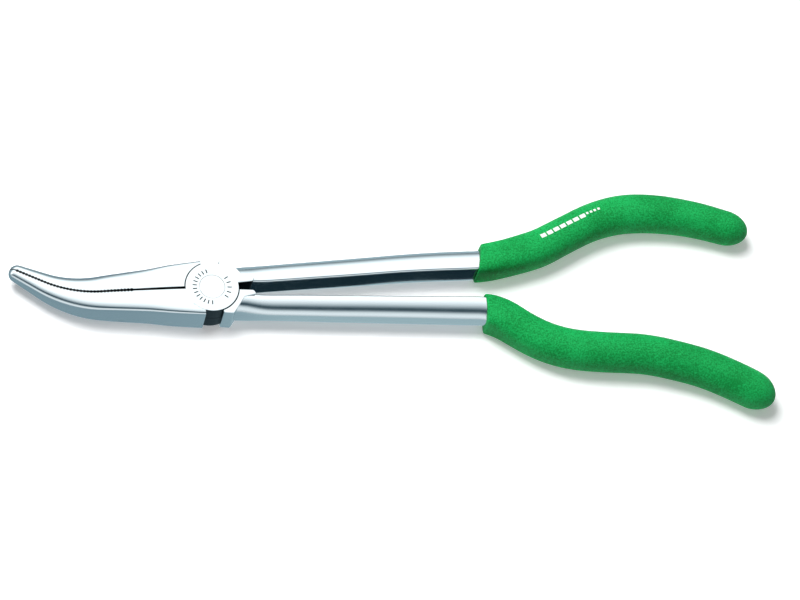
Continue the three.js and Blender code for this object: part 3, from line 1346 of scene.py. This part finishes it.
@dataclass(frozen=True)
class PrintedDashes:
    """A plain row of white dashes printed along the top of a grip."""

    grip: Grip
    name: str = "front_grip_print"
    start: float = 26.5
    dash: float = 2.3
    gap: float = 0.7
    count: int = 7
    small_dash: float = 0.9
    small_count: int = 4
    small_share: float = 0.6      # its height, of a large dash's
    low: float = 0.203            # how far round the grip its two long sides lie
    high: float = 0.236
    ink: float = 0.06
    sunk: float = 0.03            # how far the ink goes into the grip
    across_steps: int = 5
    along_steps: int = 4

    def build(self) -> bpy.types.Object:
        """Lays each dash on the grip and gives it the thickness of its ink.

        Returns:
            The print, at rest in the frame.
        """
        bm = bmesh.new()
        first = self.start
        lengths = [self.dash] * self.count + [self.small_dash] * self.small_count
        for length in lengths:
            share = 1.0 if length == self.dash else self.small_share
            dash = bmesh.ops.create_grid(bm, x_segments=self.along_steps,
                                         y_segments=self.across_steps, size=0.5)["verts"]
            for vert in dash:
                along = first + (vert.co.x + 0.5) * length
                part = self.low + (vert.co.y + 0.5) * (self.high - self.low) * share
                vert.co = self.grip.surface(part, along, 0.0, self.ink)
            first += length + self.gap
        bmesh.ops.recalc_face_normals(bm, faces=bm.faces)
        bmesh.ops.solidify(bm, geom=bm.faces, thickness=self.ink + self.sunk)
        bmesh.ops.recalc_face_normals(bm, faces=bm.faces)
        piece = solid(self.name, bm)
        finish_mesh(piece, INK_CREASE)
        return piece

    def dress(self, piece: bpy.types.Object, ink: bpy.types.Material) -> None:
        """Gives the print its ink and its place in the frame.

        Args:
            piece: what build made.
            ink: the printed finish.
        """
        piece.data.materials.append(ink)
        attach(piece, self.grip.body)


# ---- the studio -----------------------------------------------------------------------
@dataclass(frozen=True)
class Studio:
    """A white paper floor under a broad overhead softbox, and the camera."""

    elevation: float = 62.0       # degrees that the camera stands above the floor
    lean: float = 23.0            # degrees that uprights lean in the picture
    tilt: float = 2.0             # degrees that the tool's length rises in the picture
    distance: float = 1.0         # metres, as every size of the studio is
    clip: tuple[float, float] = (0.01, 20.0)
    lens: float = 122.85
    sensor: float = 36.0
    floor_reach: float = 3.0
    floor_drop: float = 0.03 * MM         # so that the tool's underside isn't in its plane
    aim: tuple[float, float, float] = (0.069787, -0.004952, 0.0064)
    sky_strength: float = 1.75
    key_power: float = 10.5
    key_size: float = 0.46
    key_distance: float = 0.9
    key_from: tuple[float, float, float] = (-0.30, 0.36, 0.88)
    fill_power: float = 3.5
    fill_size: float = 1.6
    fill_distance: float = 1.5
    # the tone of the painted reflection sheet, which stands for the shaded floor in front of
    #     # the tool and changes across the pivot, from the jaws to the handles
    sheet: Stops = ((0.0, "#90AAB4"), (0.5, "#98B2BC"), (1.0, "#B4CDD4"))
    sheet_height: float = -0.02   # millimetres, as the outlines of the cards are
    sheet_reach: float = 1000.0
    sheet_change: float = 0.03    # how far either side of the pivot its tone changes
    # painted shade: the dark tone the upper bar's inner wall mirrors from the gap between
    # handles
    black: str = "#152A33"
    black_height: float = -0.01
    black_outline: Points = ((3.0, -3.5), (3.0, 1.0), (16.0, 1.2), (103.0, 3.1), (103.0, -8.0))
    # the sky from straight down behind (-180) over the top (0) to straight down in front
    sky: Stops = (
        (-180.0, "#50595D"), (-95.0, "#50595D"), (-84.0, "#687276"), (-74.0, "#96A0A4"),
        (-64.0, "#CBD4D7"), (-54.0, "#F2F8FA"), (-42.0, "#FFFFFF"), (-22.0, "#FBFFFF"),
        (-12.0, "#D6DCDE"), (-4.0, "#B8C0C3"), (2.0, "#98A2A6"), (8.0, "#6E7B81"),
        (15.0, "#35454C"), (25.0, "#2C3C43"), (33.0, "#6E7A80"), (41.0, "#AEB6B9"),
        (54.0, "#CDD3D5"), (66.0, "#CFD5D7"), (78.0, "#BEC6C9"), (88.0, "#A2ABAF"),
        (180.0, "#A8B0B4"),
    )

    def build(self) -> None:
        """Sets the floor, the cards, the sky, the lamps and the camera."""
        self.floor()
        self.painted_reflection_sheet()
        self.gap_shade_card()
        self.sky_light()
        self.lamps()
        self.camera()
        bpy.context.scene.view_settings.view_transform = "Standard"

    def floor(self) -> None:
        """Lays the paper just under the tool."""
        bm = bmesh.new()
        bmesh.ops.create_grid(bm, x_segments=8, y_segments=8, size=self.floor_reach)
        bmesh.ops.translate(bm, verts=bm.verts, vec=(0, 0, -self.floor_drop))
        floor = solid("paper_floor", bm)
        floor.data.materials.append(StudioPaper().material())

    def card(self, name: str, corners: Points, height: float, surface: bpy.types.Material,
             colour: object) -> None:
        """Lays a flat glowing card that only reflections see.

        Args:
            name: the card's name.
            corners: its outline in plan.
            height: above the tool's underside.
            surface: its material, which has no shader yet.
            colour: what its glow is given: a colour or an output socket.
        """
        tree = surface.node_tree
        glow = add_node(tree, "ShaderNodeEmission", {"Color": colour, "Strength": 1.0})
        add_node(tree, "ShaderNodeOutputMaterial", {"Surface": glow.outputs["Emission"]})
        bm = bmesh.new()
        bm.faces.new([bm.verts.new((x, y, height)) for x, y in corners])
        bmesh.ops.scale(bm, vec=(MM, MM, MM), verts=bm.verts)
        bmesh.ops.recalc_face_normals(bm, faces=bm.faces)
        card = solid(name, bm)
        card.data.materials.append(surface)
        card.visible_camera = card.visible_diffuse = card.visible_shadow = False
        card.visible_transmission = card.visible_volume_scatter = False

    def painted_reflection_sheet(self) -> None:
        """Lays the grey sheet of painted reflection, the shaded floor that the upright sides
        mirror.
        """
        surface, tree = new_material("painted_floor_reflection_sheet")
        place = add_node(tree, "ShaderNodeTexCoord").outputs["Object"]
        parts = add_node(tree, "ShaderNodeSeparateXYZ", {0: place})
        share = add_node(tree, "ShaderNodeMapRange", {
            "Value": parts.outputs["X"],
            "From Min": -self.sheet_change, "From Max": self.sheet_change,
        })
        ramp = add_node(tree, "ShaderNodeValToRGB", {"Fac": share.outputs["Result"]})
        set_ramp(ramp.color_ramp, self.sheet)
        far = self.sheet_reach
        corners = ((-far, -far), (far, -far), (far, far), (-far, far))
        self.card("painted_reflection_sheet", corners, self.sheet_height, surface, ramp.outputs["Color"])

    def gap_shade_card(self) -> None:
        """Lays the black card of painted shade between the handles, which the upper bar's wall
        mirrors.
        """
        surface, _ = new_material("painted_gap_shade_card")
        self.card("gap_shade_card", self.black_outline, self.black_height, surface,
                  linear(self.black))

    def sky_light(self) -> None:
        """Paints the sky that the steel mirrors, by its angle about the tool's length."""
        world = bpy.data.worlds.new("soft_studio")
        world.use_nodes = True
        tree = world.node_tree
        tree.nodes.clear()
        way = add_node(tree, "ShaderNodeTexCoord").outputs["Generated"]
        parts = add_node(tree, "ShaderNodeSeparateXYZ", {0: way})
        front = add_node(tree, "ShaderNodeMath", {0: parts.outputs["Y"], 1: -1.0},
                         operation="MULTIPLY")
        angle = add_node(tree, "ShaderNodeMath", {
            0: front.outputs[0], 1: parts.outputs["Z"],
        }, operation="ARCTAN2")
        share = add_node(tree, "ShaderNodeMapRange", {
            "Value": angle.outputs[0], "From Min": -math.pi, "From Max": math.pi,
        })
        ramp = add_node(tree, "ShaderNodeValToRGB", {"Fac": share.outputs["Result"]})
        set_ramp(ramp.color_ramp, tuple(((degrees + 180) / 360, colour)
                                        for degrees, colour in self.sky))
        light = add_node(tree, "ShaderNodeBackground", {
            "Color": ramp.outputs["Color"], "Strength": self.sky_strength,
        })
        add_node(tree, "ShaderNodeOutputWorld", {"Surface": light.outputs["Background"]})
        world.cycles_visibility.diffuse = False
        bpy.context.scene.world = world

    def softbox(self, name: str, way: Vector, distance: float, size: float,
                power: float) -> None:
        """Hangs a square softbox that lights surfaces but isn't mirrored.

        Args:
            name: the lamp's name.
            way: the direction from the tool to it.
            distance: how far off it hangs.
            size: the length of its side.
            power: its power in watts.
        """
        lamp = bpy.data.lights.new(name, "AREA")
        lamp.shape, lamp.size, lamp.energy = "SQUARE", size, power
        holder = bpy.data.objects.new(name, lamp)
        way = way.normalized()
        holder.location = Vector(self.aim) + way * distance
        holder.rotation_euler = way.to_track_quat("Z", "Y").to_euler()
        holder.visible_glossy = False
        bpy.context.scene.collection.objects.link(holder)

    def lamps(self) -> None:
        """Hangs the key behind and to the left, and a broad weak fill overhead."""
        self.softbox("key", Vector(self.key_from), self.key_distance, self.key_size,
                     self.key_power)
        self.softbox("fill", Vector((0.0, 0.0, 1.0)), self.fill_distance, self.fill_size,
                     self.fill_power)

    def axes(self) -> Matrix:
        """The camera's right, up and back directions, as the columns of a matrix.

        Returns:
            The rotation, from how the tool's own axes lie in the picture.
        """
        rise, lean = math.radians(self.elevation), math.radians(self.lean)
        tilt = math.radians(self.tilt)
        up_axis = Vector((math.cos(rise) * math.sin(lean), math.cos(rise) * math.cos(lean),
                          math.sin(rise)))
        across = Vector((math.cos(tilt), math.sin(tilt), 0.0))
        across.z = -across.dot(up_axis) / up_axis.z
        across.normalize()
        return Matrix((across, up_axis.cross(across), up_axis))

    def camera(self) -> None:
        """Stands the camera at its angle to the tool."""
        lens = bpy.data.cameras.new("camera")
        lens.lens = self.lens
        lens.sensor_width = self.sensor
        lens.clip_start, lens.clip_end = self.clip
        camera = bpy.data.objects.new("camera", lens)
        turn = self.axes()
        camera.matrix_world = Matrix.Translation(
            Vector(self.aim) + turn.col[2] * self.distance) @ turn.to_4x4()
        bpy.context.scene.collection.objects.link(camera)
        bpy.context.scene.camera = camera


# ---- assembly -------------------------------------------------------------------------
BACK_BAR_SECTIONS: Rows = (
    (0.0, 7.0, 6.35), (3.5, 7.1, 6.3), (6.5, 7.4, 6.0), (9.0, 7.6, 5.5), (12.5, 7.7, 4.95),
    (16.0, 7.8, 4.8), (38.0, 8.2, 5.05), (64.0, 8.4, 5.3), (92.0, 8.9, 5.4),
    (102.0, 8.8, 4.75), (122.0, 8.4, 3.6), (220.0, 8.0, 3.2),
)
FRONT_BAR_SECTIONS: Rows = (
    (0.0, 7.0, 6.35), (3.5, 7.1, 6.3), (6.5, 7.5, 6.0), (9.0, 7.8, 5.5), (12.5, 8.05, 4.95),
    (16.0, 8.15, 4.8), (38.0, 8.5, 5.0), (64.0, 8.85, 5.15), (88.0, 9.25, 5.15),
    (102.0, 9.0, 4.7), (122.0, 8.4, 3.6), (220.0, 8.0, 3.2),
)
BACK_HANDLE = Handle(sections=BACK_BAR_SECTIONS, points=(
    (6, -6.3), (18, -6.9), (32, -7.6), (43, -8.3), (54, -8.9), (69, -9.8), (84, -10.6),
    (95, -11.2), (101, -11.6), (107, -13.9), (113.5, -18.7), (120.5, -23.2),
    (127.5, -26.2), (135, -28.0), (143, -29.0), (161, -31.0), (172.5, -34.2),
    (180, -36.8), (190.5, -42.0), (199, -47.1), (205.7, -51.7),
))
FRONT_HANDLE = Handle(sections=FRONT_BAR_SECTIONS, points=(
    (6, 5.5), (19, 6.0), (33, 6.65), (45, 7.15), (56, 7.65), (71, 8.4), (86, 8.8),
    (97, 8.85), (103, 9.0), (110, 10.2), (118, 12.15), (126, 14.6), (132, 17.5),
    (138.5, 20.6), (145, 23.6), (151.5, 25.8), (159.5, 27.4), (167.5, 27.6), (179, 26.3),
    (190.5, 23.6), (199, 20.7), (208.0, 17.5),
))
BACK_GRIP_SECTIONS: Rows = (
    (0.0, 6.2, 6.1, 5.0), (8.0, 6.9, 6.37, 3.0), (14.0, 7.0, 6.37, 2.6),
    (40.0, 7.5, 6.37, 2.3), (100.0, 7.3, 6.37, 2.2), (120.0, 6.1, 6.37, 2.2),
)
FRONT_GRIP_SECTIONS: Rows = (
    (0.0, 6.0, 6.1, 5.0), (12.0, 6.6, 6.37, 3.0), (24.0, 7.0, 6.37, 2.5),
    (40.0, 6.9, 6.37, 2.3), (68.0, 7.5, 6.37, 2.2), (90.0, 6.9, 6.37, 2.2),
    (112.0, 6.2, 6.37, 2.2),
)


def make(part: PliersHalf | PivotRivet | Grip | PrintedDashes,
         *looks: bpy.types.Material) -> None:
    """Builds a piece, dresses it, and logs its name and how finely it is made.

    Args:
        part: what it is.
        looks: its materials.
    """
    piece = part.build()
    part.dress(piece, *looks)
    log.info("%s: %d faces", piece.name, len(piece.data.polygons))


def main() -> None:
    """Builds the studio and every piece."""
    logging.basicConfig(level=logging.INFO, format="%(name)s: %(message)s")
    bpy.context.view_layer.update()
    Studio().build()

    low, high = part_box("pivot_rivet")
    joint = Joint(thickness=round((high.z - low.z) / MM, 2))
    # the machined faces' finish carries painted shade in its near black colour
    steel, machined = PlatedSteel().material(), MachinedShadeSteel().material()
    vinyl = DippedVinyl().material()

    make(PliersHalf("front_plated_half", "front_lever", "front_half", Side.NEAR, Layer.UPPER,
                    FRONT_HANDLE, joint, stamp=StampedRing()), steel, machined)
    make(PliersHalf("back_plated_half", "back_lever", "back_half", Side.FAR, Layer.LOWER,
                    BACK_HANDLE, joint), steel, machined)
    make(PivotRivet(joint), GroundRivetSteel().material())

    front_grip = Grip("front_dipped_grip", "front_lever", "front_grip", Side.FAR,
                      FRONT_HANDLE, joint.middle, 100.0, FRONT_GRIP_SECTIONS, slant=0.27)
    make(front_grip, vinyl)
    make(Grip("back_dipped_grip", "back_lever", "back_grip", Side.NEAR, BACK_HANDLE,
              joint.middle, 101.0, BACK_GRIP_SECTIONS, slant=-0.17), vinyl)
    make(PrintedDashes(front_grip), PadPrint().material())


if __name__ == "__main__":
    main()
